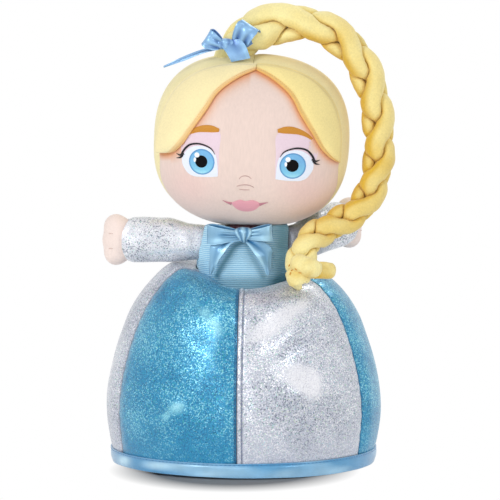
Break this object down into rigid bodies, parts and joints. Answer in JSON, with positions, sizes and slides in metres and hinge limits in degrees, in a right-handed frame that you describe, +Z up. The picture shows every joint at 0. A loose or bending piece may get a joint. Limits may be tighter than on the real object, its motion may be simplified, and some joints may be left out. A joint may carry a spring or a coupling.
{
  "type": "stuffed princess doll",
  "caption": "Soft stuffed princess doll standing on the flat base of a bell skirt, with a big round head, a long braid from the crown and turning head and arms.",
  "frame": {"origin": "the middle of the skirt's flat base, on the surface that the doll stands on", "axes": "+Z up, the doll faces -Y, and its left arm is on the +X side"},
  "size_m": [0.1901, 0.176, 0.3013],
  "materials": {
    "glitter_blue": "glittering knit",
    "glitter_silver": "glittering knit",
    "satin_ribbon": "satin",
    "grosgrain": "ribbed",
    "face_fleece": "short velour",
    "collar_cloth": "matt",
    "hair_fleece": "short velour",
    "filling": "loose fibre",
    "base_felt": "felt",
    "pellets": "bagged pellets"
  },
  "bodies": {
    "torso": {"base_panel": "base_felt", "hem_binding": "satin_ribbon", "skirt_filling": "filling", "pellet_bag": "pellets", "skirt_gore_front_silver": "glitter_silver", "skirt_gore_side_blue": "glitter_blue", "skirt_gore_back_silver": "glitter_silver", "skirt_gore_back_blue": "glitter_blue", "skirt_gore_side_silver": "glitter_silver", "skirt_gore_front_blue": "glitter_blue", "torso_filling": "filling", "bodice_front": "grosgrain", "bodice_back": "glitter_silver", "chest_bow": "satin_ribbon"},
    "neck": {"neck": "collar_cloth"},
    "head": {"head_filling": "filling", "face_panel": "face_fleece", "hair_back_right": "hair_fleece", "hair_back_left": "hair_fleece", "hair_flap_right": "hair_fleece", "hair_flap_left": "hair_fleece", "hair_bow": "satin_ribbon"},
    "braid": {"braid_strand_a": "hair_fleece", "braid_strand_b": "hair_fleece", "braid_strand_c": "hair_fleece"},
    "right_arm": {"right_sleeve": "glitter_silver", "right_hand": "face_fleece"},
    "left_arm": {"left_sleeve": "glitter_silver", "left_hand": "face_fleece"}
  },
  "joints": [
    {"name": "head_turn", "type": "hinge", "parent": "torso", "child": "neck", "pos_m": [0.00375, 0, 0.15], "axis": [0, 0, 1], "range_deg": [-12, 12], "stiffness_Nm_per_rad": 0.15},
    {"name": "head_nod", "type": "hinge", "parent": "neck", "child": "head", "pos_m": [0.00375, 0, 0.1566], "axis": [1, 0, 0], "range_deg": [-6, 0], "stiffness_Nm_per_rad": 1},
    {"name": "braid_lift", "type": "hinge", "parent": "head", "child": "braid", "pos_m": [-0.0255, 0, 0.256], "axis": [0, -1, 0], "range_deg": [0, 30], "stiffness_Nm_per_rad": 0.05},
    {"name": "right_arm_swing", "type": "hinge", "parent": "torso", "child": "right_arm", "pos_m": [-0.02955, 0, 0.14375], "axis": [0, 0, 1], "range_deg": [-40, 40], "stiffness_Nm_per_rad": 0.02},
    {"name": "left_arm_swing", "type": "hinge", "parent": "torso", "child": "left_arm", "pos_m": [0.03305, 0, 0.14375], "axis": [0, 0, 1], "range_deg": [-20, 8], "stiffness_Nm_per_rad": 0.02}
  ]
}
